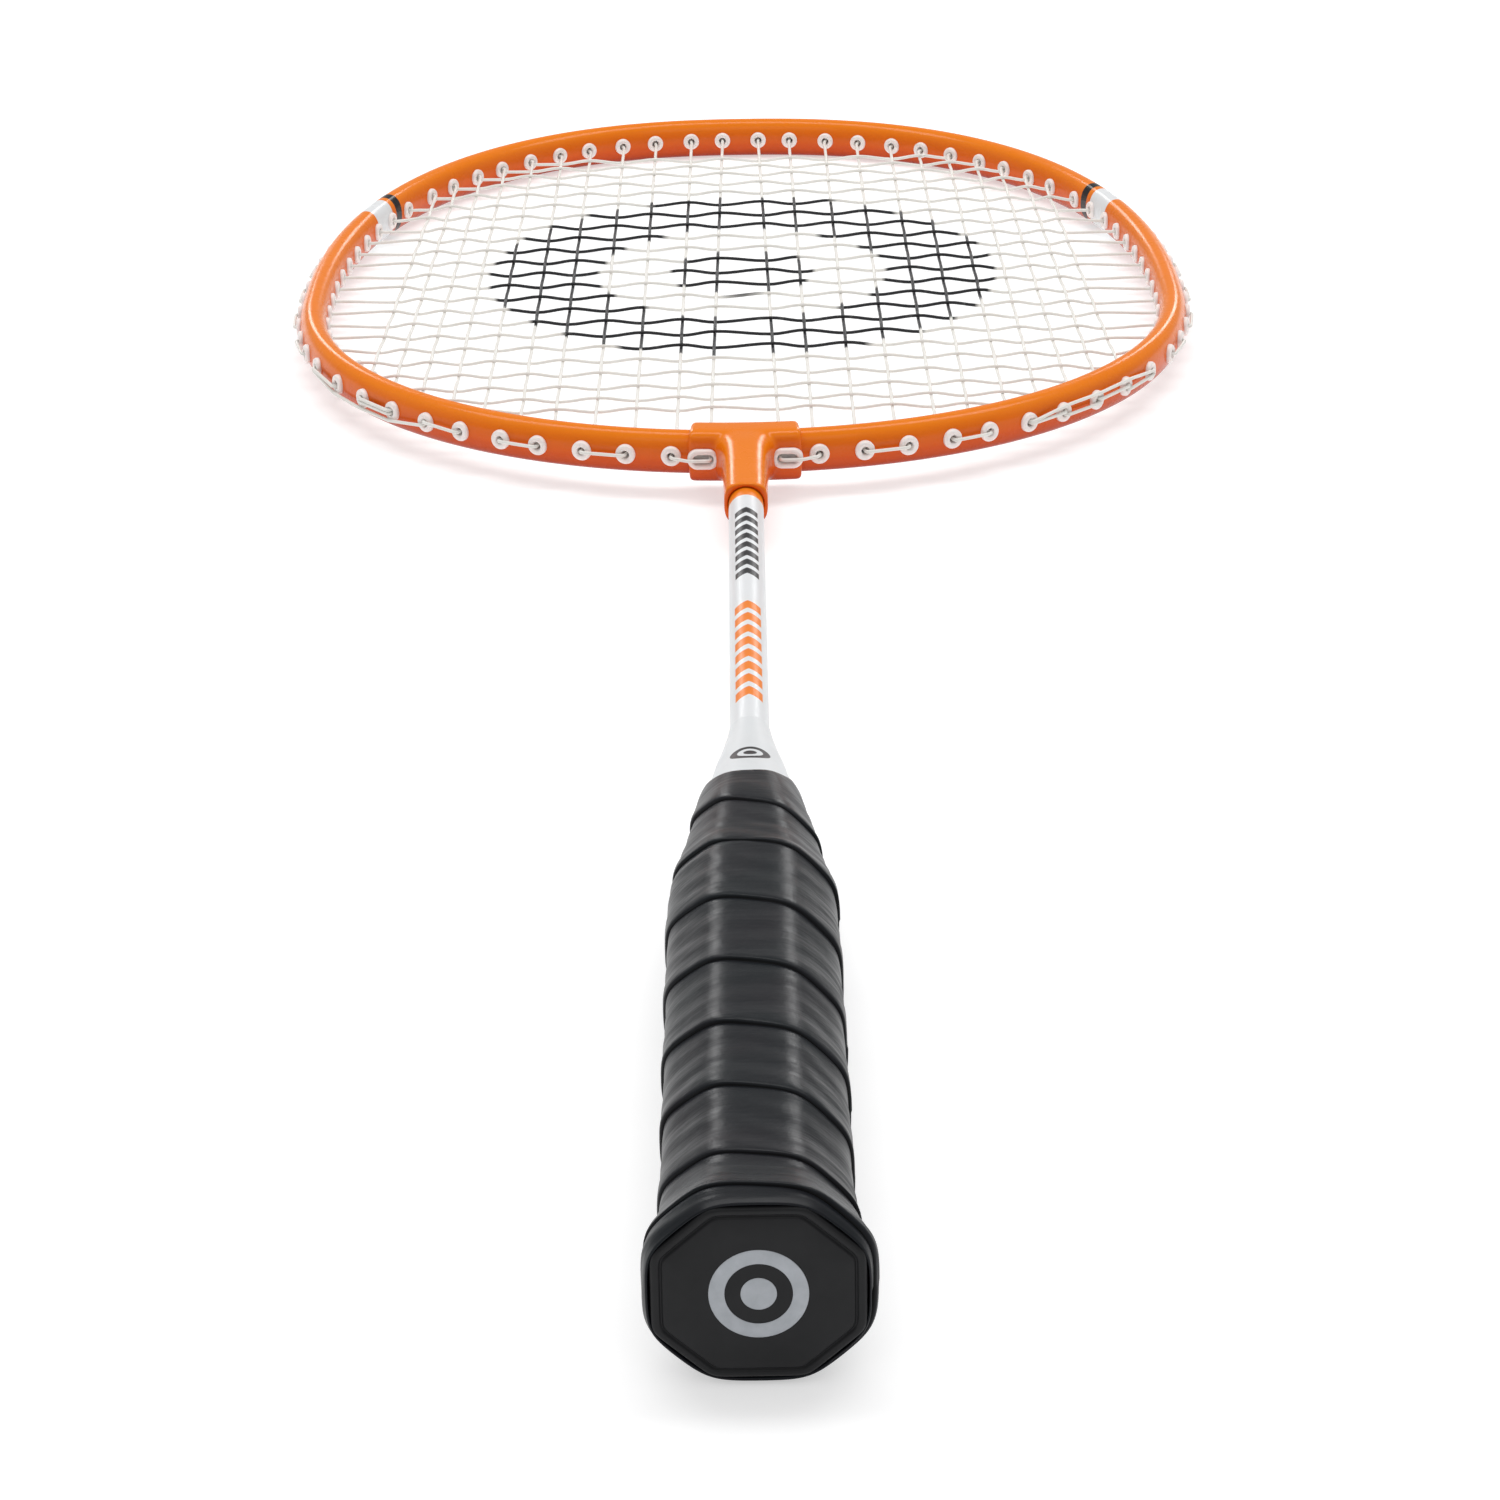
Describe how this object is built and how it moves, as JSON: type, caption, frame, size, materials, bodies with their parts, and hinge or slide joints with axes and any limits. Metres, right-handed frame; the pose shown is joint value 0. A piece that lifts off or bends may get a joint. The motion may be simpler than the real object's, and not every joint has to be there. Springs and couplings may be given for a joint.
{
  "type": "badminton racket",
  "caption": "Short badminton racket with an oval tubular hoop, strung head, T-joint, slim round shaft and an eight-sided wound grip.",
  "frame": {"origin": "middle of the flat end of the butt cap, on the racket's long axis", "axes": "+X across the head, +Y from the butt to the tip, +Z square to the strings"},
  "size_m": [0.208, 0.5868, 0.0306],
  "materials": {
    "hoop_paint": "glossy orange lacquer on a thin steel tube",
    "joint_gloss": "glossy orange moulding",
    "bare_steel": "plain steel, out of sight",
    "grommet_plastic": "milky, slightly translucent nylon",
    "string": "off-white nylon string",
    "shaft_paint": "glossy white lacquer on a thin steel tube",
    "cone_gloss": "glossy white moulding",
    "handle_wood": "plain sanded wood, out of sight",
    "cap_plastic": "black moulding with a fine satin grain",
    "grip_leather": "soft polyurethane grip band, dark grey, satin"
  },
  "bodies": {
    "root": {"hoop": "hoop_paint", "hoop_joint_pin": "bare_steel", "t_joint": "joint_gloss", "slot_grommet_left": "grommet_plastic", "slot_grommet_right": "grommet_plastic", "grommet_pair_tip": "grommet_plastic", "grommet_pair_left_01": "grommet_plastic", "grommet_pair_left_02": "grommet_plastic", "grommet_pair_left_03": "grommet_plastic", "grommet_pair_left_04": "grommet_plastic", "grommet_pair_left_05": "grommet_plastic", "grommet_pair_left_06": "grommet_plastic", "grommet_pair_left_07": "grommet_plastic", "grommet_pair_left_08": "grommet_plastic", "grommet_pair_left_09": "grommet_plastic", "grommet_pair_left_10": "grommet_plastic", "grommet_pair_left_11": "grommet_plastic", "grommet_pair_left_12": "grommet_plastic", "grommet_pair_left_13": "grommet_plastic", "grommet_pair_left_14": "grommet_plastic", "grommet_pair_left_15": "grommet_plastic", "grommet_pair_left_16": "grommet_plastic", "grommet_pair_left_17": "grommet_plastic", "grommet_pair_right_01": "grommet_plastic", "grommet_pair_right_02": "grommet_plastic", "grommet_pair_right_03": "grommet_plastic", "grommet_pair_right_04": "grommet_plastic", "grommet_pair_right_05": "grommet_plastic", "grommet_pair_right_06": "grommet_plastic", "grommet_pair_right_07": "grommet_plastic", "grommet_pair_right_08": "grommet_plastic", "grommet_pair_right_09": "grommet_plastic", "grommet_pair_right_10": "grommet_plastic", "grommet_pair_right_11": "grommet_plastic", "grommet_pair_right_12": "grommet_plastic", "grommet_pair_right_13": "grommet_plastic", "grommet_pair_right_14": "grommet_plastic", "grommet_pair_right_15": "grommet_plastic", "grommet_pair_right_16": "grommet_plastic", "grommet_pair_right_17": "grommet_plastic", "main_strings": "string", "cross_strings": "string", "shaft": "shaft_paint", "cone": "cone_gloss", "handle_core": "handle_wood", "butt_cap": "cap_plastic", "cap_tack_left": "bare_steel", "cap_tack_right": "bare_steel", "grip_wrap": "grip_leather"}
  },
  "joints": []
}
